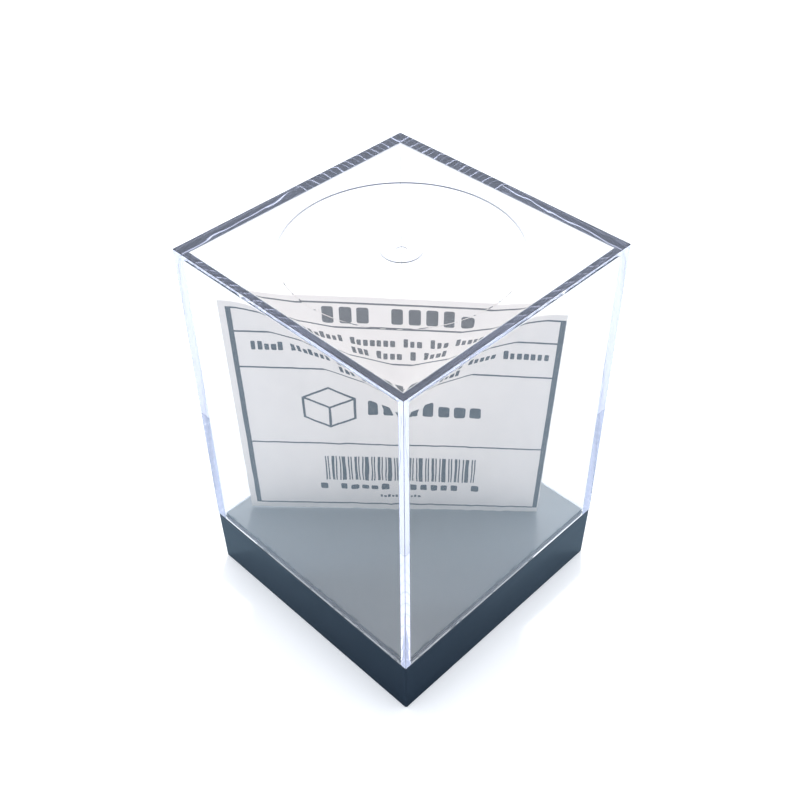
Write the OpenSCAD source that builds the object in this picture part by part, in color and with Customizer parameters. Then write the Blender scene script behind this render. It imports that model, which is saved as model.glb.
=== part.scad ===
// Square display case: a clear moulded cover that lifts off a hollow black base,
// with a loose printed card standing across the corners inside.
// Millimetres. Z is up, z = 0 is the table, and the Z axis runs through the centre
// of the case. X and Y lie along its sides. The card faces the +X -Y corner.

/* [Overall size] */
// Outside width of the case, at the seam between cover and base
case_w = 58.93; // [45:0.01:90]
// Height of the case from the table to the top of the cover
case_h = 85.85; // [60:0.01:130]

/* [Cover] */
// Thickness of the cover's four walls
cover_wall = 1.9; // [1.2:0.1:3]
// Thickness of the cover's top
cover_top_t = 1.8; // [1.2:0.1:3]
// Draft of the cover's walls, in degrees from upright
cover_draft = 0.1; // [0:0.01:0.6]
// Radius where the walls and top meet inside the cover
cavity_r = 0.2; // [0.2:0.1:1.5]
// Height of the round step that the mould's core leaves under the top
core_step = 0.3; // [0.1:0.05:0.5]
// Radius of the recess that the mould's air valve leaves in the middle of that step
valve_r = 4; // [2:0.5:7]
// Depth of the valve's recess
valve_depth = 0.2; // [0.1:0.05:0.5]

/* [Base] */
// Height of the ledge that the cover stands on
base_h = 14.5; // [8:0.1:25]
// Height of the deck above the ledge
deck_rise = 1.1; // [0.6:0.1:3]
// Gap on each side between the deck and the cover
deck_gap = 0.15; // [0.05:0.05:0.4]
// How far each side leans in from the ledge to the foot
base_lean_in = 0.22; // [0:0.01:0.6]
// Thickness of the base's skirt
skirt_t = 1.8; // [1.2:0.1:3]
// Thickness of the deck
deck_t = 2; // [1.2:0.1:3]
// Chamfer along the base's upper edges
edge_chamfer = 0.3; // [0.1:0.05:0.5]

/* [Card] */
// Card width as a share of the cover's inside diagonal
card_w_share = 0.789; // [0.5:0.001:0.9]
// Card height as a share of the space under the top
card_h_share = 0.926; // [0.5:0.001:0.93]
// Thickness of the card
card_t = 0.35; // [0.2:0.05:1]
// Turn of the card about the upright axis, in degrees
card_yaw = 3.2; // [0:0.1:6]

/* [Hidden] */
$fn = 96;
fillet_fn = 32;
eps = 0.01;

// Cover
cover_h = case_h - base_h;
draft_in = cover_h * tan(cover_draft);
cover_top_w = case_w - 2 * draft_in;
cavity_w = case_w - 2 * cover_wall;
cavity_h = cover_h - cover_top_t;
cavity_top_w = cavity_w - 2 * draft_in * cavity_h / cover_h;
core_disc_r = 0.39 * case_w;
valve_nub_r = 0.27 * valve_r;
valve_nub_h = 0.75 * valve_depth;

// Base
foot_w = case_w - 2 * base_lean_in;
deck_w = cavity_w - 2 * deck_gap;
deck_z = base_h + deck_rise;
deck_corner_r = cavity_r + deck_gap;
hollow_w = foot_w - 2 * skirt_t;
hollow_h = deck_z - deck_t;
hollow_draft_in = 0.3;
rib_t = 1.2;
rib_h = 0.4 * hollow_h;
boss_r = 3.5;
ejector_pad_r = 2.5;
ejector_pad_h = 0.15;
ejector_pad_at = 0.3 * hollow_w;

// Card. Its two upper corners rest against the two front walls, so the lean follows
// from the card's size. Depths are measured along the diagonal, away from the front corner.
card_clear = 0.3;
card_foot_lift = 0.02;
card_w = card_w_share * cavity_w * sqrt(2);
card_h = card_h_share * (base_h + cavity_h - core_step - deck_z);
card_foot_depth = 0.25;
card_reach = cavity_top_w / sqrt(2) - card_clear;
card_top_depth = card_w / 2 * cos(card_yaw) - card_reach;
card_side_shift = card_w / 2 * sin(card_yaw);
card_lean = asin((card_foot_depth - card_top_depth) / card_h);

// A square block whose sides lean evenly from w_low at the bottom to w_high at the top
module drafted_block(w_low, w_high, h) {
    intersection() {
        drafted_bar(w_low, w_high, h);
        rotate([0, 0, 90]) drafted_bar(w_low, w_high, h);
    }
}

module drafted_bar(w_low, w_high, h) {
    bar_l = 2 * max(w_low, w_high);
    profile = [[-w_low / 2, 0], [w_low / 2, 0], [w_high / 2, h], [-w_high / 2, h]];
    translate([0, bar_l / 2, 0])
        rotate([90, 0, 0])
            linear_extrude(bar_l)
                polygon(profile);
}

// The space inside the cover, with rounded upright and upper edges
module cover_cavity() {
    hull() {
        for (x = [-1, 1], y = [-1, 1]) {
            low = cavity_w / 2 - cavity_r;
            high = cavity_top_w / 2 - cavity_r;
            translate([x * low, y * low, -eps])
                cylinder(r = cavity_r, h = eps, $fn = fillet_fn);
            translate([x * high, y * high, cavity_h - cavity_r])
                sphere(r = cavity_r, $fn = fillet_fn);
        }
    }
}

// A round step whose edge slopes at 45 degrees, r wide at the end it is named for:
// a disc narrows downwards from r, and a recess opens downwards to r
module sloping_disc(r, h) {
    cylinder(r1 = r - h, r2 = r, h = h);
}

module sloping_recess(r, h) {
    translate([0, 0, -eps])
        cylinder(r = r, h = 2 * eps);
    cylinder(r1 = r, r2 = r - h, h = h);
}

// An upright square block with rounded upright edges
module rounded_block(w, r, h) {
    linear_extrude(h) {
        square([w, w - 2 * r], center = true);
        square([w - 2 * r, w], center = true);
        for (x = [-1, 1], y = [-1, 1])
            translate([x * (w / 2 - r), y * (w / 2 - r)])
                circle(r);
    }
}

module cover() {
    step_z = cavity_h - core_step;
    valve_z = step_z + valve_depth;
    color([0.93, 0.95, 1, 0.3])
        translate([0, 0, base_h]) {
            difference() {
                union() {
                    difference() {
                        drafted_block(case_w, cover_top_w, cover_h);
                        cover_cavity();
                    }
                    // step left by the mould's core
                    translate([0, 0, step_z])
                        sloping_disc(core_disc_r, core_step);
                }
                // recess left by the mould's air valve
                translate([0, 0, step_z])
                    sloping_recess(valve_r, valve_depth);
            }
            // nub in the middle of the recess
            translate([0, 0, valve_z - valve_nub_h])
                sloping_disc(valve_nub_r, valve_nub_h);
        }
}

// Two crossing ribs and a round boss that stiffen the deck from below
module deck_ribs() {
    rib_l = hollow_w + skirt_t;
    for (turn = [0, 90])
        rotate([0, 0, turn])
            translate([-rib_l / 2, -rib_t / 2, hollow_h - rib_h])
                cube([rib_l, rib_t, rib_h + eps]);
    translate([0, 0, hollow_h - rib_h])
        cylinder(r = boss_r, h = rib_h + eps);
}

module ejector_pads() {
    for (x = [-1, 1], y = [-1, 1])
        translate([x * ejector_pad_at, y * ejector_pad_at, hollow_h - ejector_pad_h])
            cylinder(r = ejector_pad_r, h = ejector_pad_h + eps);
}

module base() {
    color([0.05, 0.06, 0.08]) {
        difference() {
            union() {
                drafted_block(foot_w, case_w, base_h - edge_chamfer);
                translate([0, 0, base_h - edge_chamfer])
                    drafted_block(case_w, case_w - 2 * edge_chamfer, edge_chamfer);
                translate([0, 0, base_h - eps])
                    rounded_block(deck_w, deck_corner_r, deck_rise + eps);
            }
            translate([0, 0, -eps])
                drafted_block(hollow_w, hollow_w - 2 * hollow_draft_in, hollow_h + eps);
        }
        deck_ribs();
        ejector_pads();
    }
}

module insert_card() {
    lift_for_lean = card_t * sin(card_lean) + card_foot_lift;
    color([0.93, 0.93, 0.92])
        rotate([0, 0, 45])
            translate([-card_side_shift, card_foot_depth, deck_z + lift_for_lean])
                rotate([0, 0, -card_yaw])
                    rotate([card_lean, 0, 0])
                        translate([-card_w / 2, 0, 0])
                            cube([card_w, card_t, card_h]);
}

base();
cover();
insert_card();
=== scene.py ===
"""Looks of the square display case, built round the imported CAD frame.

Three pieces are remade as fine meshes: the clear cover, the black base and the loose
card. The card's printing is a fourth mesh that rides with it. Sizes are in millimetres
and are turned into metres when a mesh is made, unless a comment says metres.
"""

import math
import random

import bmesh
import bpy
from mathutils import Matrix, Vector


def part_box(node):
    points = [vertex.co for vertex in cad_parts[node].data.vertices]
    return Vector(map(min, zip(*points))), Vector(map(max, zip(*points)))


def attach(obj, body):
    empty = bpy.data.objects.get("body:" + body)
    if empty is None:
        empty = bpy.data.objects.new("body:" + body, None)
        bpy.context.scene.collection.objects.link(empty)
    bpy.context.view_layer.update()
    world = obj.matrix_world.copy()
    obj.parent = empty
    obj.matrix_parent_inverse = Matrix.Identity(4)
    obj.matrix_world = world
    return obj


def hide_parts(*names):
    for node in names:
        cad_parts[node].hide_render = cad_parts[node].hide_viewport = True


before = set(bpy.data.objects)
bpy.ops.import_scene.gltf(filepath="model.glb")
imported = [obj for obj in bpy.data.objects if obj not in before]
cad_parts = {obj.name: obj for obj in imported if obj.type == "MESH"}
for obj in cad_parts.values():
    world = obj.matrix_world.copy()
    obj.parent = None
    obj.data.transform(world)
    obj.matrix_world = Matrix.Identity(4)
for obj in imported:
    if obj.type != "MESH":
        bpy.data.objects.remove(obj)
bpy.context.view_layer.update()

MM = 0.001

# ---------------------------------------------------------------- sizes from the frame
cover_low, cover_high = (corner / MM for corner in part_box("cover"))
CASE_HALF = cover_high.x
LEDGE_Z = cover_low.z
TOP_Z = cover_high.z
DECK_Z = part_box("base")[1].z / MM

# ---------------------------------------------------------------- cover
WALL = 1.9
TOP_T = 1.8
COVER_DRAFT = math.radians(0.1)
SEAT_GAP = 0.02
COVER_EDGE_R = 0.12
COVER_CORNER_R = 0.08
COVER_RIM_R = 0.12
CAVITY_EDGE_R = 0.15
CAVITY_CORNER_R = 0.08
THICKENING = 0.12
THICKENING_W = 3.5
THICKENING_STEPS = 8
CORE_DISC_R = 23.0
CORE_STEP = 0.3
VALVE_R = 4.0
VALVE_DEPTH = 0.2
NUB_R = 1.08
NUB_H = 0.15
MARK_LIP = 0.02

# ---------------------------------------------------------------- base
FOOT_LEAN_IN = 0.22
BASE_EDGE_R = 0.3
BASE_RIM_R = 0.12
BASE_CORNER_R = 0.5
DECK_GAP = 0.15
DECK_CORNER_R = 0.35
DECK_ROOT_R = 0.12
SKIRT_T = 1.8
DECK_T = 2.0
HOLLOW_R = 0.8
HOLLOW_DRAFT_IN = 0.3
RIB_T = 1.2
RIB_SHARE = 0.4
RIB_EDGE_R = 0.2
BOSS_R = 3.5
PAD_R = 2.5
PAD_H = 0.15
PAD_SHARE = 0.3
UNDER_STEP = 0.03
WELD = 0.001

# ---------------------------------------------------------------- card and its printing
CARD_BOW = -0.3
CARD_TWIST = 2.3
CARD_TILT = math.radians(-0.6)
CARD_SLIDE = -0.5
CARD_CELLS = 36
INK_LIFT = 0.012
INK_SINK = 0.03
INK_CELL = 1.5
LETTER_SEED = 7

# ---------------------------------------------------------------- mesh resolution
SIDE_STEPS = 10
CORNER_STEPS = 8
RING_COUNT = 4 * (2 * SIDE_STEPS + CORNER_STEPS + 2)
EDGE_STEPS = 6
LEAST_CORNER_R = 0.04
FLAT_GUARD = 0.03
SMOOTH_ANGLE = math.radians(35)

# ---------------------------------------------------------------- camera and light
CAMERA_LENS = 49.67
CAMERA_SENSOR = 36.0
CAMERA_AZIMUTH = math.radians(45.12)
CAMERA_ELEVATION = math.radians(42.49)
CAMERA_ROLL = math.radians(-0.67)
CAMERA_DISTANCE = 227.1
CAMERA_RIGHT = -0.64
CAMERA_UP = 2.32
CAMERA_AIM_Z = 45.0
KEY_AZIMUTH = math.radians(-142)
KEY_ELEVATION = math.radians(78)
KEY_RIM = 0.8
KEY_CORE = 0.98
KEY_COLOUR = (2.4, 2.4, 2.4, 1.0)
DOME_COLOUR = (0.95, 1.02, 1.12, 1.0)
SUN_ELEVATION = math.radians(64)
SUN_ANGLE = math.radians(5)
SUN_ENERGY = 1.3
LIGHT_BOUNCES = 24

# These reaches are in metres
CAMERA_NEAR = 0.01
CAMERA_FAR = 20
FLOOR_HALF = 6.0
FLOOR_FADE_START = 0.14
FLOOR_FADE_END = 0.36
MIRRORED_REACH = 0.06


# ================================================================ meshes
def square_ring(half, corner, z):
    """Points round a square with rounded corners, anticlockwise from the middle of the +X side."""
    flat = half - corner
    side = [flat * i / SIDE_STEPS for i in range(SIDE_STEPS)] + [flat - FLAT_GUARD]
    quarter = [Vector((half, along, z)) for along in side]
    for i in range(CORNER_STEPS + 1):
        angle = math.pi / 2 * i / CORNER_STEPS
        quarter.append(Vector((flat + corner * math.cos(angle), flat + corner * math.sin(angle), z)))
    quarter += [Vector((along, half, z)) for along in side[:0:-1]]
    turns = [Matrix.Rotation(math.pi / 2 * i, 3, "Z") for i in range(4)]
    return [turn @ point for turn in turns for point in quarter]


def round_ring(radius, z):
    """As many points as square_ring gives, round a circle."""
    angles = [2 * math.pi * i / RING_COUNT for i in range(RING_COUNT)]
    return [Vector((radius * math.cos(a), radius * math.sin(a), z)) for a in angles]


def arc(centre_half, centre_z, radius, start, end, steps=EDGE_STEPS):
    """(half width, height) pairs along an arc, from start to end in degrees."""
    angles = [math.radians(start + (end - start) * i / steps) for i in range(steps + 1)]
    return [(centre_half + radius * math.cos(a), centre_z + radius * math.sin(a)) for a in angles]


def square_rings(path, wall_half, corner, wear_and_mark_shade=0.0):
    """Rings along a path of (half width, height) pairs. Corners tighten as a ring shrinks."""
    rings = []
    for half, z in path:
        tightened = max(LEAST_CORNER_R, corner - wall_half + half)
        rings.append((square_ring(half, tightened, z), wear_and_mark_shade))
    return rings


def edge_rings(path, before, after, wall_half, corner, wear_and_mark_shade=0.0):
    """Rings along an edge, with one more close to each end so that the flats beside it shade as flats.

    before and after are the ways, as (half width, height), in which the flats run.
    """
    first = (path[0][0] + before[0] * FLAT_GUARD, path[0][1] + before[1] * FLAT_GUARD)
    last = (path[-1][0] + after[0] * FLAT_GUARD, path[-1][1] + after[1] * FLAT_GUARD)
    edge = square_rings(path, wall_half, corner, wear_and_mark_shade)
    return square_rings([first], wall_half, corner) + edge + square_rings([last], wall_half, corner)


def round_rings(path, wear_and_mark_shade=0.0):
    """Rings along a path of (radius, height) pairs."""
    return [(round_ring(radius, z), wear_and_mark_shade) for radius, z in path]


def mesh_object(name, points, faces, material, wear_and_mark_shade=None):
    """A smooth-shaded object from points in millimetres."""
    mesh = bpy.data.meshes.new(name)
    mesh.from_pydata([point * MM for point in points], [], faces)
    mesh.validate()
    mesh.materials.append(material)
    if wear_and_mark_shade is not None:
        layer = mesh.attributes.new("wear_and_mark_shade", "FLOAT", "POINT")
        layer.data.foreach_set("value", wear_and_mark_shade)
    mesh.polygons.foreach_set("use_smooth", [True] * len(mesh.polygons))
    mesh.set_sharp_from_angle(angle=SMOOTH_ANGLE)
    piece = bpy.data.objects.new(name, mesh)
    bpy.context.scene.collection.objects.link(piece)
    return piece


def loft(name, rings, material):
    """A closed skin through the rings, from the centre of its top, over its rim, to the centre below."""
    points = []
    wear_and_mark_shade = []
    for ring, ring_wear in rings:
        points += ring
        wear_and_mark_shade += [ring_wear] * RING_COUNT
    faces = []
    for row in range(len(rings) - 1):
        near = row * RING_COUNT
        far = near + RING_COUNT
        for i in range(RING_COUNT):
            j = (i + 1) % RING_COUNT
            faces.append((near + i, far + i, far + j, near + j))
    top_centre = len(points)
    under_centre = top_centre + 1
    last = (len(rings) - 1) * RING_COUNT
    points.append(Vector((0, 0, rings[0][0][0].z)))
    points.append(Vector((0, 0, rings[-1][0][0].z)))
    wear_and_mark_shade += [0.0, 0.0]
    for i in range(RING_COUNT):
        j = (i + 1) % RING_COUNT
        faces.append((top_centre, i, j))
        faces.append((under_centre, last + j, last + i))
    return mesh_object(name, points, faces, material, wear_and_mark_shade)


UP = (0, 1)
DOWN = (0, -1)
INWARDS = (-1, 0)
OUTWARDS = (1, 0)


def place(piece, body, node=None):
    """Joins a finished piece to its CAD body, in place of its CAD node."""
    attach(piece, body)
    if node:
        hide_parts(node)


# ---------------------------------------------------------------- cover
def cover_half_at(z):
    """Half the cover's outside width at height z. The walls lean in towards the top."""
    return CASE_HALF - (z - LEDGE_Z) * math.tan(COVER_DRAFT)


def step_rings(radius, inner_z, outer_z):
    """A sloping round step, from the flat inside it to the flat outside it."""
    inner = radius - abs(outer_z - inner_z)
    face = round_rings([(inner, inner_z), (radius, outer_z)], wear_and_mark_shade=1.0)
    return round_rings([(inner - MARK_LIP, inner_z)]) + face + round_rings([(radius + MARK_LIP, outer_z)])


def cover_top_rings():
    """The flat top and its outer edge."""
    half = cover_half_at(TOP_Z)
    edge = arc(half - COVER_EDGE_R, TOP_Z - COVER_EDGE_R, COVER_EDGE_R, 90, 0)
    centre = round_rings([(VALVE_R, TOP_Z)])
    return centre + edge_rings(edge, INWARDS, DOWN, half, COVER_CORNER_R)


def cover_rim_rings():
    """The open lower edge that stands on the base's ledge."""
    low = LEDGE_Z + SEAT_GAP
    outer = cover_half_at(low)
    inner = outer - WALL
    outside = arc(outer - COVER_RIM_R, low + COVER_RIM_R, COVER_RIM_R, 0, -90)
    inside = arc(inner + COVER_RIM_R, low + COVER_RIM_R, COVER_RIM_R, -90, -180)
    rings = edge_rings(outside, UP, INWARDS, outer, COVER_CORNER_R)
    return rings + edge_rings(inside, OUTWARDS, UP, inner, CAVITY_CORNER_R)


def cover_under_rings():
    """The cavity's upper edge, and the round marks that the mould leaves under the top.

    Near that edge the wall and the top thicken slightly, which bends what is seen through them.
    The marks are a step, then the recess of the mould's air valve with a small nub in its middle.
    """
    ceiling = TOP_Z - TOP_T
    half = cover_half_at(ceiling) - WALL
    steps = [i / THICKENING_STEPS for i in range(THICKENING_STEPS + 1)]
    extra = [THICKENING * share ** 2 for share in steps]
    edge_half = half - THICKENING - CAVITY_EDGE_R
    edge_z = ceiling - THICKENING - CAVITY_EDGE_R
    reach = THICKENING_W - CAVITY_EDGE_R
    wall = [(half - e, edge_z - reach * (1 - share)) for share, e in zip(steps, extra)]
    top = [(edge_half - reach * (1 - share), ceiling - e) for share, e in zip(steps, extra)]
    fillet = wall[:-1] + arc(edge_half, edge_z, CAVITY_EDGE_R, 0, 90) + top[-2::-1]
    step_z = ceiling - CORE_STEP
    valve_z = step_z + VALVE_DEPTH
    nub_z = valve_z - NUB_H
    marks = round_rings([(NUB_R / 2, nub_z)]) + step_rings(NUB_R, nub_z, valve_z)
    marks += step_rings(VALVE_R, valve_z, step_z) + step_rings(CORE_DISC_R, step_z, ceiling)
    return edge_rings(fillet, DOWN, INWARDS, half, CAVITY_CORNER_R) + marks[::-1]


def build_cover(material):
    rings = cover_top_rings() + cover_rim_rings() + cover_under_rings()
    cover = loft("cover_shell", rings, material)
    place(cover, "cover", "cover")


# ---------------------------------------------------------------- base
def base_top_rings():
    """The deck, its edge and root, and the ledge and sides around it."""
    deck_half = CASE_HALF - WALL - DECK_GAP
    ledge_half = CASE_HALF
    foot_half = CASE_HALF - FOOT_LEAN_IN
    deck = arc(deck_half - BASE_EDGE_R, DECK_Z - BASE_EDGE_R, BASE_EDGE_R, 90, 0)
    root = arc(deck_half + DECK_ROOT_R, LEDGE_Z + DECK_ROOT_R, DECK_ROOT_R, 180, 270)
    ledge = arc(ledge_half - BASE_EDGE_R, LEDGE_Z - BASE_EDGE_R, BASE_EDGE_R, 90, 0)
    foot = arc(foot_half - BASE_EDGE_R, BASE_EDGE_R, BASE_EDGE_R, 0, -90)
    rings = square_rings([(deck_half / 2, DECK_Z)], deck_half, DECK_CORNER_R)
    rings += edge_rings(deck, INWARDS, DOWN, deck_half, DECK_CORNER_R, wear_and_mark_shade=1.0)
    rings += edge_rings(root, UP, OUTWARDS, deck_half, DECK_CORNER_R)
    rings += edge_rings(ledge, INWARDS, DOWN, ledge_half, BASE_CORNER_R, wear_and_mark_shade=1.0)
    return rings + edge_rings(foot, UP, INWARDS, foot_half, BASE_CORNER_R, wear_and_mark_shade=1.0)


def base_under_rings():
    """The skirt's inside and the hollow's ceiling."""
    low_half = CASE_HALF - FOOT_LEAN_IN - SKIRT_T
    high_half = low_half - HOLLOW_DRAFT_IN
    ceiling = DECK_Z - DECK_T
    rim = arc(low_half + BASE_RIM_R, BASE_RIM_R, BASE_RIM_R, -90, -180)
    fillet = arc(high_half - HOLLOW_R, ceiling - HOLLOW_R, HOLLOW_R, 0, 90)
    rings = edge_rings(rim, OUTWARDS, UP, low_half, HOLLOW_R, wear_and_mark_shade=1.0)
    rings += edge_rings(fillet, DOWN, INWARDS, high_half, HOLLOW_R)
    return rings + square_rings([(BOSS_R, ceiling)], high_half, HOLLOW_R)


def stretched(rings, extra):
    """The same rings pulled apart along X."""
    def pulled(point):
        shift = 0.0 if abs(point.x) < FLAT_GUARD else math.copysign(extra, point.x)
        return point + Vector((shift, 0, 0))
    return [([pulled(point) for point in ring], wear_and_mark_shade) for ring, wear_and_mark_shade in rings]


def join_solid(piece, rings, material, across=(0.0, 0.0), turn=0.0):
    """Adds a lofted solid to a piece with an exact union, moved across and turned about Z first."""
    added = loft("added", rings, material)
    added.location = Vector((across[0], across[1], 0.0)) * MM
    added.rotation_euler.z = turn
    modifier = piece.modifiers.new("join", "BOOLEAN")
    modifier.operation = "UNION"
    modifier.solver = "EXACT"
    modifier.object = added
    bpy.context.view_layer.update()
    graph = bpy.context.evaluated_depsgraph_get()
    joined = bpy.data.meshes.new_from_object(piece.evaluated_get(graph))
    piece.modifiers.remove(modifier)
    piece.data = joined
    piece.data.set_sharp_from_angle(angle=SMOOTH_ANGLE)
    bpy.data.objects.remove(added)


def join_ribs(piece, material):
    """The crossed ribs, the boss where they meet and the ejector pads, all under the deck.

    Each solid ends a small step lower than the one before, so that no two ends share a plane.
    """
    low_half = CASE_HALF - FOOT_LEAN_IN - SKIRT_T
    ceiling = DECK_Z - DECK_T
    inside = ceiling + DECK_T / 4
    low = ceiling - RIB_SHARE * ceiling + RIB_EDGE_R
    for number, turn in enumerate((0.0, math.pi / 2)):
        edge = arc(RIB_T / 2 - RIB_EDGE_R, low - number * UNDER_STEP, RIB_EDGE_R, 0, -90)
        rib = square_rings([(RIB_T / 2, inside + number * UNDER_STEP)] + edge, RIB_T / 2, RIB_EDGE_R / 2)
        join_solid(piece, stretched(rib, low_half + (SKIRT_T - RIB_T) / 2), material, turn=turn)
    edge = arc(BOSS_R - RIB_EDGE_R, low - 2 * UNDER_STEP, RIB_EDGE_R, 0, -90)
    join_solid(piece, round_rings([(BOSS_R, inside + 2 * UNDER_STEP)] + edge), material)
    pad = round_rings([(PAD_R, inside), (PAD_R, ceiling - PAD_H)])
    pad_at = PAD_SHARE * 2 * low_half
    for x in (-pad_at, pad_at):
        for y in (-pad_at, pad_at):
            join_solid(piece, pad, material, across=(x, y))


def weld(piece):
    """Merges the points and drops the slivers that the unions leave."""
    skin = bmesh.new()
    skin.from_mesh(piece.data)
    bmesh.ops.remove_doubles(skin, verts=skin.verts, dist=WELD * MM)
    bmesh.ops.dissolve_degenerate(skin, edges=skin.edges, dist=WELD * MM / 10)
    skin.to_mesh(piece.data)
    skin.free()


def build_base(material):
    base = loft("base_tray", base_top_rings() + base_under_rings(), material)
    join_ribs(base, material)
    weld(base)
    place(base, "base", "base")


# ---------------------------------------------------------------- card
def card_axes():
    """The CAD card's lower left front corner, width and height vectors, front's normal and thickness.

    The card stands nearly along the X = Y diagonal, which runs to the viewer's right.
    """
    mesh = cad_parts["insert_card"].data
    corners = {tuple(round(c / MM, 3) for c in vertex.co): vertex.co / MM for vertex in mesh.vertices}
    by_height = sorted(corners.values(), key=lambda p: p.z)
    low, high = by_height[:4], by_height[-4:]

    def across(point):
        return point.x + point.y

    def depth(point):
        return point.y - point.x

    low_left = min(sorted(low, key=across)[:2], key=depth)
    low_right = min(sorted(low, key=across)[-2:], key=depth)
    high_left = min(sorted(high, key=across)[:2], key=depth)
    width = low_right - low_left
    height = high_left - low_left
    normal = width.cross(height).normalized()
    thickness = abs((max(low, key=depth) - low_left).dot(normal))
    return low_left, width, height, normal, thickness


CARD_CORNER, CARD_ACROSS, CARD_UP, CARD_FRONT, CARD_T = card_axes()
CARD_W = CARD_ACROSS.length
CARD_H = CARD_UP.length


def card_point(u, v, lift=0.0):
    """A point on the card's front, u across and v up from its lower left corner, raised by lift."""
    from_right = u - CARD_W
    u = CARD_W + from_right * math.cos(CARD_TILT) - v * math.sin(CARD_TILT) + CARD_SLIDE
    v = from_right * math.sin(CARD_TILT) + v * math.cos(CARD_TILT)
    share_u = u / CARD_W
    share_v = v / CARD_H
    bend = CARD_BOW * math.sin(math.pi * share_u) * share_v
    bend += CARD_TWIST * (share_u - 0.5) * (share_v - 0.5)
    return CARD_CORNER + CARD_ACROSS * share_u + CARD_UP * share_v + CARD_FRONT * (bend + lift)


class Slabs:
    """Thin closed slabs that follow the card's front."""

    def __init__(self):
        self.points = []
        self.faces = []

    def grid(self, u_low, v_low, u_high, v_high, low, high, cell):
        """A rectangle of cells between two lifts."""
        columns = max(1, round((u_high - u_low) / cell))
        rows = max(1, round((v_high - v_low) / cell))
        start = len(self.points)
        for lift in (high, low):
            for row in range(rows + 1):
                for column in range(columns + 1):
                    u = u_low + (u_high - u_low) * column / columns
                    v = v_low + (v_high - v_low) * row / rows
                    self.points.append(card_point(u, v, lift))
        step = columns + 1
        layer = step * (rows + 1)
        for row in range(rows):
            for column in range(columns):
                a = start + row * step + column
                b, c, d = a + 1, a + step + 1, a + step
                self.faces.append((a, b, c, d))
                self.faces.append((a + layer, d + layer, c + layer, b + layer))
        loop = [start + i for i in range(step)]
        loop += [start + row * step + columns for row in range(1, rows + 1)]
        loop += [start + rows * step + i for i in range(columns - 1, -1, -1)]
        loop += [start + row * step for row in range(rows - 1, 0, -1)]
        self.wall(loop, layer)

    def wall(self, loop, layer):
        """The side faces between a loop on the upper lift and the same loop on the lower."""
        for i, near in enumerate(loop):
            far = loop[(i + 1) % len(loop)]
            self.faces.append((near, near + layer, far + layer, far))

    def outline(self, corners):
        """A flat shape given by its outline, anticlockwise."""
        start = len(self.points)
        count = len(corners)
        self.points += [card_point(u, v, INK_LIFT) for u, v in corners]
        self.points += [card_point(u, v, -INK_SINK) for u, v in corners]
        self.faces.append(tuple(range(start, start + count)))
        self.faces.append(tuple(range(start + 2 * count - 1, start + count - 1, -1)))
        self.wall(list(range(start, start + count)), count)

    def bar(self, u_low, v_low, u_high, v_high):
        """A printed rectangle."""
        self.grid(u_low, v_low, u_high, v_high, -INK_SINK, INK_LIFT, cell=INK_CELL)

    def pill(self, u_low, v_low, u_high, v_high, radius, steps=4):
        """A printed rectangle with rounded corners."""
        centres = [(u_high - radius, v_high - radius), (u_low + radius, v_high - radius)]
        centres += [(u_low + radius, v_low + radius), (u_high - radius, v_low + radius)]
        corners = []
        for quarter, (u, v) in enumerate(centres):
            for i in range(steps + 1):
                angle = math.pi / 2 * (quarter + i / steps)
                corners.append((u + radius * math.cos(angle), v + radius * math.sin(angle)))
        self.outline(corners)

    def ring(self, outer, inner):
        """A printed band between two outlines with the same number of corners."""
        count = len(outer)
        for i in range(count):
            j = (i + 1) % count
            self.outline([outer[i], outer[j], inner[j], inner[i]])


# Where things are printed, in millimetres from the card's lower left corner. Lines of blocks
# without a centre of their own stand round one that is PRINT_SHIFT right of the card's middle.
# A line's words are their numbers of blocks, and STRIPE_WIDTHS counts in STRIPE_UNITs.
BORDER_LEFT = 1.3
BORDER_RIGHT = 0.15
BORDER_BAR = 1.0
BORDER_RULE = 0.42
RULE_HEIGHTS = (1.6, 22.7, 45.5, 55.2, 61.3)
PRINT_SHIFT = 1.6
HEADING = {"low": 56.5, "height": 4.0, "words": (3, 5), "pitch": 3.2}
UPPER_LINE = {"low": 50.6, "height": 2.3, "words": (5, 7, 7, 3, 3, 5, 7), "pitch": 1.27}
LOWER_LINE = {"low": 47.1, "height": 2.3, "words": (3, 4, 1, 4), "pitch": 1.3}
SIGN = {"centre_u": 19.0, "centre_v": 34.3, "size": 6.2}
SIGN_LINE = 0.5
SIGN_NAME = {"low": 32.4, "height": 4.4, "words": (7,), "pitch": 3.1}
SIGN_NAME_CENTRE = 37.5
STRIPES = {"left": 17.2, "low": 10.4, "right": 47.4, "high": 18.6}
STRIPE_UNIT = 0.27
STRIPE_WIDTHS = (1, 1, 2, 1, 1, 3)
UNDER_STRIPES = {"low": 7.2, "height": 2.0, "words": (1, 5, 5, 1), "pitch": 2.2}
FOOT_LINE = {"low": 4.4, "height": 0.9, "words": (9,), "pitch": 0.8}

# The plain blocks that stand for letters, as shares of a line's pitch and height
BLOCK_GAP = 0.22
BLOCK_ROUNDING = 0.22
BLOCK_LEAST_W = 0.82
LOW_BLOCK_H = 0.72
TALL_CHANCE = 0.25


def print_borders(slabs):
    """Two thick side bars and the thin rules between the rows."""
    right = CARD_W - BORDER_RIGHT
    low = RULE_HEIGHTS[0]
    high = RULE_HEIGHTS[-1] + BORDER_RULE
    inner_left = BORDER_LEFT + BORDER_BAR
    inner_right = right - BORDER_BAR
    slabs.bar(BORDER_LEFT, low, inner_left, high)
    slabs.bar(inner_right, low, right, high)
    for height in RULE_HEIGHTS:
        slabs.bar(inner_left, height, inner_right, height + BORDER_RULE)


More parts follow.
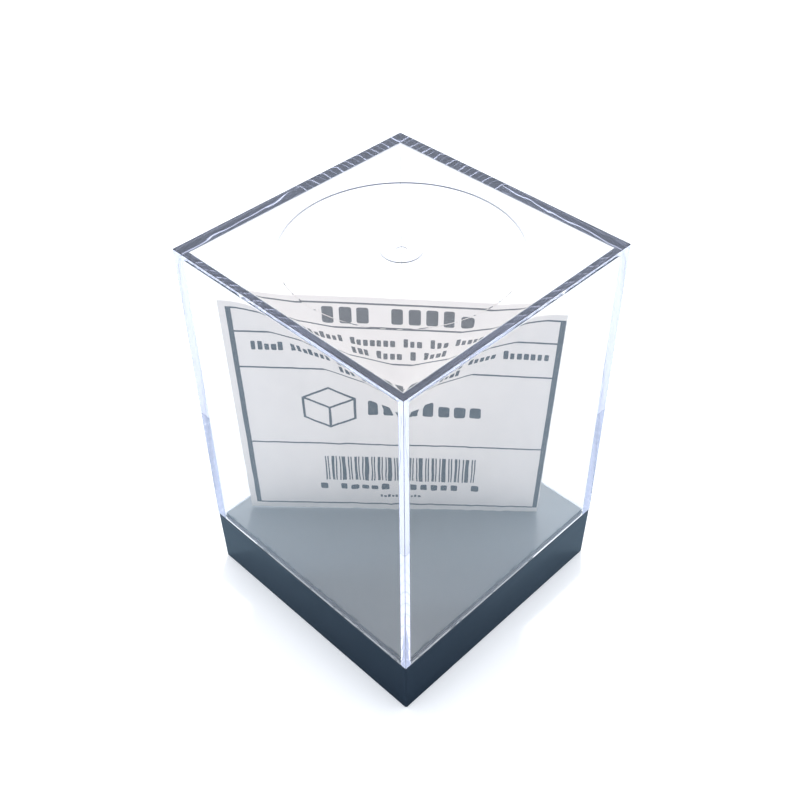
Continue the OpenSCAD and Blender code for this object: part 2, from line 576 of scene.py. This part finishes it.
def print_blocks(slabs, rng, centre_u, low, height, words, pitch):
    """A line of plain blocks where a line of words would be. words holds each word's length."""
    gap = BLOCK_GAP * pitch
    total = sum(words) + len(words) - 1
    u = centre_u - total * pitch / 2
    for word in words:
        for letter in range(word):
            tall = letter == 0 or rng.random() < TALL_CHANCE
            top = low + height * (1.0 if tall else LOW_BLOCK_H)
            width = pitch * rng.uniform(BLOCK_LEAST_W, 1.0) - gap
            slabs.pill(u, low, u + width, top, radius=min(width, height) * BLOCK_ROUNDING)
            u += pitch
        u += pitch


def print_box_sign(slabs, centre_u, centre_v, size):
    """A plain line drawing of a box, corner towards the viewer."""
    angles = [math.radians(30 + 60 * i) for i in range(6)]
    outer = [(centre_u + size * math.cos(a), centre_v + size * math.sin(a)) for a in angles]
    shrink = (size - SIGN_LINE / math.cos(math.radians(30))) / size
    inner = [(centre_u + (u - centre_u) * shrink, centre_v + (v - centre_v) * shrink) for u, v in outer]
    slabs.ring(outer, inner)
    for index in (0, 2, 4):
        tip = Vector(inner[index])
        centre = Vector((centre_u, centre_v))
        side = (tip - centre).orthogonal().normalized() * SIGN_LINE / 2
        slabs.outline([centre - side, tip - side, tip + side, centre + side][::-1])


def print_stripes(slabs, left, low, right, high):
    """A plain repeating pattern of narrow and wide stripes that codes nothing."""
    u = left
    index = 0
    while u < right:
        width = STRIPE_UNIT * STRIPE_WIDTHS[index % len(STRIPE_WIDTHS)]
        slabs.bar(u, low, u + width, high)
        u += width + STRIPE_UNIT * (1 + index % 2)
        index += 1


def build_card(paper, ink):
    """The sheet, and its printing as thin geometry on the front."""
    sheet = Slabs()
    sheet.grid(0, 0, CARD_W, CARD_H, -CARD_T, 0, cell=CARD_W / CARD_CELLS)
    card = mesh_object("card_sheet", sheet.points, sheet.faces, paper)
    place(card, "card", "insert_card")

    rng = random.Random(LETTER_SEED)
    printing = Slabs()
    middle = CARD_W / 2 + PRINT_SHIFT
    print_borders(printing)
    for line in (HEADING, UPPER_LINE, LOWER_LINE):
        print_blocks(printing, rng, middle, **line)
    print_box_sign(printing, **SIGN)
    print_blocks(printing, rng, SIGN_NAME_CENTRE, **SIGN_NAME)
    print_stripes(printing, **STRIPES)
    for line in (UNDER_STRIPES, FOOT_LINE):
        print_blocks(printing, rng, middle, **line)
    inked = mesh_object("card_printing", printing.points, printing.faces, ink)
    place(inked, "card")


# ================================================================ materials
WHITE = (1.0, 1.0, 1.0, 1.0)
CLEAR_IOR = 1.59
CLEAR_SURFACE = (0.99, 0.99, 0.995, 1.0)
CLEAR_DEPTH = (0.57, 0.62, 0.86, 1.0)
CLEAR_DENSITY = 12.0
CLEAR_SHADOW = (0.985, 0.985, 0.99, 1.0)
# Painted shade that draws the mould marks' dark lines in the clear cover.
MARK_PAINTED_SHADE = (0.13, 0.14, 0.19, 1.0)
BLACK_IOR = 1.55
BLACK_SIDES = (0.018, 0.028, 0.043, 1.0)
BLACK_RUBBED = (0.06, 0.07, 0.085, 1.0)
# The deck's pale grey is painted sheen of the bright light above, over a fine frost.
DECK_FROST_AND_SHEEN = (0.305, 0.312, 0.312, 1.0)
PAPER_DARK = (0.70, 0.645, 0.595, 1.0)
PAPER_PALE = (0.89, 0.82, 0.755, 1.0)
PAPER_MOTTLE = 0.35
PAPER_STRETCH = (1.0, 1.0, 0.3)
INK_DARK = (0.07, 0.073, 0.08, 1.0)
INK_WORN = (0.28, 0.29, 0.30, 1.0)
FLOOR_NEAR = (0.9, 0.9, 0.9, 1.0)
# Painted shade: the floor's colour far from the case, where the light falls off.
FLOOR_FAR_SHADE = (0.57, 0.56, 0.57, 1.0)
# Painted shade: the floor's colour seen mirrored in the case, ahead of the front corner and aside from it.
MIRRORED_SHADE_AHEAD = (0.03, 0.05, 0.07, 1.0)
MIRRORED_SHADE_ASIDE = (0.22, 0.30, 0.36, 1.0)


def add(tree, kind, inputs=None, **settings):
    """Adds a node. An input is a value or another node's socket."""
    node = tree.nodes.new(kind)
    for key, value in settings.items():
        setattr(node, key, value)
    for key, value in (inputs or {}).items():
        if isinstance(value, bpy.types.NodeSocket):
            tree.links.new(value, node.inputs[key])
        else:
            node.inputs[key].default_value = value
    return node


def new_material(name):
    """An empty node material, its tree, and where its places come from, in metres."""
    material = bpy.data.materials.new(name)
    material.use_nodes = True
    tree = material.node_tree
    tree.nodes.clear()
    place_socket = add(tree, "ShaderNodeTexCoord").outputs["Object"]
    return material, tree, place_socket


def noise(tree, vector, size, detail=3.0):
    """Noise whose features are about size millimetres across."""
    inputs = {"Vector": vector, "Scale": 1 / (size * MM), "Detail": detail}
    return add(tree, "ShaderNodeTexNoise", inputs).outputs["Fac"]


def ramp(tree, value, start, end, low=0.0, high=1.0):
    """Low up to where the value is start, high from where it is end, and a straight slope between."""
    inputs = {"Value": value, "From Min": start, "From Max": end, "To Min": low, "To Max": high}
    return add(tree, "ShaderNodeMapRange", inputs).outputs["Result"]


def maths(tree, operation, first, second=0.0):
    """One sum of one or two values, by Blender's name for it."""
    return add(tree, "ShaderNodeMath", {0: first, 1: second}, operation=operation).outputs[0]


def dot_product(tree, first, second):
    return add(tree, "ShaderNodeVectorMath", {0: first, 1: second}, operation="DOT_PRODUCT").outputs["Value"]


def mix_colour(tree, share, first, second):
    """Share 0 gives the first colour and share 1 the second.

    The node's sockets 0, 6 and 7 are the share and the two colours.
    """
    node = add(tree, "ShaderNodeMix", data_type="RGBA")
    for index, value in ((0, share), (6, first), (7, second)):
        if isinstance(value, bpy.types.NodeSocket):
            tree.links.new(value, node.inputs[index])
        else:
            node.inputs[index].default_value = value
    return node.outputs[2]


def bump(tree, height, distance):
    """A bump of distance millimetres."""
    inputs = {"Height": height, "Distance": distance * MM, "Strength": 1.0}
    return add(tree, "ShaderNodeBump", inputs).outputs["Normal"]


def finish_material(tree, surface, volume=None):
    """Gives the tree its output."""
    output = add(tree, "ShaderNodeOutputMaterial", {"Surface": surface})
    if volume:
        tree.links.new(volume, output.inputs["Volume"])


def clear_plastic():
    """Polished clear styrene, faintly blue in depth.

    A ray that leaves by a sloping face of the moulding marks goes straight on, and where it
    leaves nearly square it takes a dark tint, painted shade that draws the marks' dark lines.
    """
    material, tree, where = new_material("clear_plastic_looks")
    wear_and_mark_shade = add(tree, "ShaderNodeAttribute", attribute_name="wear_and_mark_shade").outputs["Fac"]
    seen = add(tree, "ShaderNodeNewGeometry").outputs
    head_on = dot_product(tree, seen["Incoming"], seen["Normal"])
    mark = maths(tree, "MULTIPLY", wear_and_mark_shade, seen["Backfacing"])
    leaving = ramp(tree, head_on, 0.6, 0.95)
    # Painted shade: rays leaving a mark face nearly square take a dark tint, which draws the marks as dark
    # lines.
    mark_shade_tint = mix_colour(tree, leaving, WHITE, MARK_PAINTED_SHADE)
    haze = noise(tree, where, size=6, detail=4)
    ripple = noise(tree, where, size=9, detail=1)
    principled = add(tree, "ShaderNodeBsdfPrincipled", {
        "Base Color": CLEAR_SURFACE,
        "Roughness": ramp(tree, haze, 0.45, 0.8, high=0.02),
        "IOR": CLEAR_IOR,
        "Transmission Weight": 1.0,
        "Normal": bump(tree, ripple, distance=0.02),
    })
    path = add(tree, "ShaderNodeLightPath")
    passing = maths(tree, "MAXIMUM", path.outputs["Is Shadow Ray"], path.outputs["Is Diffuse Ray"])
    through = add(tree, "ShaderNodeBsdfTransparent", {"Color": CLEAR_SHADOW})
    mark_shade_pass = add(tree, "ShaderNodeBsdfTransparent", {"Color": mark_shade_tint})
    polished = add(tree, "ShaderNodeMixShader", {0: mark, 1: principled.outputs[0], 2: mark_shade_pass.outputs[0]})
    surface = add(tree, "ShaderNodeMixShader", {0: passing, 1: polished.outputs[0], 2: through.outputs[0]})
    volume = add(tree, "ShaderNodeVolumeAbsorption", {"Color": CLEAR_DEPTH, "Density": CLEAR_DENSITY})
    finish_material(tree, surface.outputs[0], volume.outputs[0])
    return material


def black_plastic():
    """Blue-black styrene, polished on its sides, with a fine frost and painted sheen on top, and paler
    rubbed edges.
    """
    material, tree, where = new_material("black_plastic_looks")
    wear_and_mark_shade = add(tree, "ShaderNodeAttribute", attribute_name="wear_and_mark_shade").outputs["Fac"]
    patches = noise(tree, where, size=3, detail=5)
    rubbed = maths(tree, "MULTIPLY", wear_and_mark_shade, ramp(tree, patches, 0.5, 0.75))
    grain = noise(tree, where, size=0.25, detail=2)
    normal = add(tree, "ShaderNodeNewGeometry").outputs["Normal"]
    facing_up = add(tree, "ShaderNodeSeparateXYZ", {"Vector": normal}).outputs["Z"]
    above = add(tree, "ShaderNodeSeparateXYZ", {"Vector": where}).outputs["Z"]
    on_deck = ramp(tree, above, LEDGE_Z * MM, DECK_Z * MM, low=0.3)
    # Upward faces of the deck, and faintly the ledge, take a fine frost and a much paler colour that is
    # painted sheen.
    frost_and_sheen = maths(tree, "MULTIPLY", on_deck, ramp(tree, facing_up, 0.3, 0.9))
    plain = mix_colour(tree, frost_and_sheen, BLACK_SIDES, DECK_FROST_AND_SHEEN)
    colour = mix_colour(tree, rubbed, plain, BLACK_RUBBED)
    satin = ramp(tree, frost_and_sheen, 0.0, 1.0, low=0.12, high=0.42)
    smudges = ramp(tree, noise(tree, where, size=14, detail=2), 0.35, 0.65, high=0.04)
    principled = add(tree, "ShaderNodeBsdfPrincipled", {
        "Base Color": colour,
        "Roughness": maths(tree, "ADD", satin, smudges),
        "IOR": BLACK_IOR,
        "Specular IOR Level": ramp(tree, frost_and_sheen, 0.0, 1.0, low=0.5, high=0.05),
        "Normal": bump(tree, maths(tree, "MULTIPLY", grain, frost_and_sheen), distance=0.001),
    })
    finish_material(tree, principled.outputs[0])
    return material


def card_paper():
    """Uncoated white card with fine fibres, a faint mottle and soft upright bands of painted shade, as if
    the sheet were wavy.
    """
    material, tree, where = new_material("card_paper_looks")
    mottle = noise(tree, where, size=2.5, detail=6)
    upright = add(tree, "ShaderNodeMapping", {"Vector": where, "Scale": PAPER_STRETCH}).outputs[0]
    # Painted shade: soft upright bands that stand for light falling on a wavy sheet.
    wave_shade = maths(tree, "MULTIPLY", noise(tree, upright, size=14), 1 - PAPER_MOTTLE)
    shade = maths(tree, "ADD", maths(tree, "MULTIPLY", mottle, PAPER_MOTTLE), wave_shade)
    fibres = noise(tree, where, size=0.12, detail=3)
    colour = mix_colour(tree, shade, PAPER_DARK, PAPER_PALE)
    principled = add(tree, "ShaderNodeBsdfPrincipled", {
        "Base Color": colour,
        "Roughness": 0.75,
        "Specular IOR Level": 0.3,
        "Normal": bump(tree, fibres, distance=0.02),
    })
    finish_material(tree, principled.outputs[0])
    return material


def card_ink():
    """Dark grey printing with small gaps where the ink missed the paper's grain."""
    material, tree, where = new_material("card_ink_looks")
    grain = ramp(tree, noise(tree, where, size=0.18, detail=2), 0.55, 0.72)
    colour = mix_colour(tree, grain, INK_DARK, INK_WORN)
    principled = add(tree, "ShaderNodeBsdfPrincipled", {
        "Base Color": colour,
        "Roughness": 0.6,
        "Specular IOR Level": 0.3,
    })
    finish_material(tree, principled.outputs[0])
    return material


def floor_paint():
    """Plain matt white, painted greyer far away as painted shade, and faintly glowing as painted light.

    Its mirror images in the case are painted darker, as painted shade, most of all along the
    line through the front corner.
    """
    material, tree, where = new_material("floor_paint")
    parts = add(tree, "ShaderNodeSeparateXYZ", {"Vector": where}).outputs
    aside = maths(tree, "ABSOLUTE", maths(tree, "ADD", parts["X"], parts["Y"]))
    sideways = ramp(tree, aside, 0.0, MIRRORED_REACH)
    # Painted shade: the floor seen mirrored in the case, darkest along the line through the front corner.
    mirrored_shade = mix_colour(tree, sideways, MIRRORED_SHADE_AHEAD, MIRRORED_SHADE_ASIDE)
    mirrored = maths(tree, "COMPARE", add(tree, "ShaderNodeLightPath").outputs["Glossy Depth"], 1.0)
    distance = add(tree, "ShaderNodeVectorMath", {0: where}, operation="LENGTH").outputs["Value"]
    # Painted shade: the floor turns greyer far from the case, as the light falls off.
    far_shade = ramp(tree, distance, FLOOR_FADE_START, FLOOR_FADE_END)
    white = mix_colour(tree, far_shade, FLOOR_NEAR, FLOOR_FAR_SHADE)
    colour = mix_colour(tree, mirrored, white, mirrored_shade)
    principled = add(tree, "ShaderNodeBsdfPrincipled", {
        "Base Color": colour,
        "Roughness": 0.9,
        "Specular IOR Level": 0.1,
        # Painted light: the floor glows faintly, which lifts the shade round the case.
        "Emission Color": colour,
        "Emission Strength": 0.2,
    })
    finish_material(tree, principled.outputs[0])
    return material


# ================================================================ stage
def direction(azimuth, elevation):
    """The way from the object to something at that azimuth and elevation."""
    flat = math.cos(elevation)
    return Vector((math.sin(azimuth) * flat, -math.cos(azimuth) * flat, math.sin(elevation)))


def build_floor():
    """A plain square, far wider than the picture."""
    half = FLOOR_HALF
    mesh = bpy.data.meshes.new("floor")
    corners = [(-half, -half, 0), (half, -half, 0), (half, half, 0), (-half, half, 0)]
    mesh.from_pydata(corners, [], [(0, 1, 2, 3)])
    mesh.materials.append(floor_paint())
    floor = bpy.data.objects.new("floor", mesh)
    bpy.context.scene.collection.objects.link(floor)


def build_light():
    """An even cool dome, brighter high behind the object, and a weak soft sun from the same side."""
    world = bpy.data.worlds.new("studio")
    world.use_nodes = True
    bpy.context.scene.world = world
    tree = world.node_tree
    tree.nodes.clear()
    looking = add(tree, "ShaderNodeTexCoord").outputs["Generated"]
    key = direction(KEY_AZIMUTH, KEY_ELEVATION)
    facing = dot_product(tree, looking, tuple(key))
    inputs = {"Value": facing, "From Min": KEY_RIM, "From Max": KEY_CORE}
    lobe = add(tree, "ShaderNodeMapRange", inputs, interpolation_type="SMOOTHSTEP").outputs["Result"]
    light = mix_colour(tree, lobe, DOME_COLOUR, KEY_COLOUR)
    seen = add(tree, "ShaderNodeLightPath").outputs["Is Camera Ray"]
    shown = mix_colour(tree, seen, light, WHITE)
    background = add(tree, "ShaderNodeBackground", {"Color": shown})
    tree.links.new(background.outputs[0], add(tree, "ShaderNodeOutputWorld").inputs["Surface"])

    data = bpy.data.lights.new("sun", "SUN")
    data.energy = SUN_ENERGY
    data.angle = SUN_ANGLE
    sun = bpy.data.objects.new("sun", data)
    sun.rotation_mode = "QUATERNION"
    sun.rotation_quaternion = direction(KEY_AZIMUTH, SUN_ELEVATION).to_track_quat("Z", "Y")
    bpy.context.scene.collection.objects.link(sun)


def build_camera():
    """The camera at the picture's view of the case."""
    data = bpy.data.cameras.new("camera")
    data.lens = CAMERA_LENS
    data.sensor_width = CAMERA_SENSOR
    data.clip_start = CAMERA_NEAR
    data.clip_end = CAMERA_FAR
    camera = bpy.data.objects.new("camera", data)
    bpy.context.scene.collection.objects.link(camera)
    back = direction(CAMERA_AZIMUTH, CAMERA_ELEVATION)
    right = Vector((math.cos(CAMERA_AZIMUTH), math.sin(CAMERA_AZIMUTH), 0))
    roll = Matrix.Rotation(CAMERA_ROLL, 3, back)
    right = roll @ right
    up = back.cross(right)
    aim = Vector((0, 0, CAMERA_AIM_Z))
    spot = aim + back * CAMERA_DISTANCE + right * CAMERA_RIGHT + up * CAMERA_UP
    turn = Matrix((right, up, back)).transposed()
    camera.matrix_world = Matrix.Translation(spot * MM) @ turn.to_4x4()
    bpy.context.scene.camera = camera


def set_look():
    """Plain display colours, and enough bounces for light to cross the cover many times."""
    scene = bpy.context.scene
    scene.view_settings.view_transform = "Standard"
    scene.cycles.max_bounces = LIGHT_BOUNCES
    scene.cycles.transmission_bounces = LIGHT_BOUNCES
    scene.cycles.glossy_bounces = LIGHT_BOUNCES
    scene.cycles.transparent_max_bounces = LIGHT_BOUNCES
    scene.cycles.caustics_reflective = False
    scene.cycles.caustics_refractive = False


build_cover(clear_plastic())
build_base(black_plastic())
build_card(card_paper(), card_ink())
build_floor()
build_light()
build_camera()
set_look()
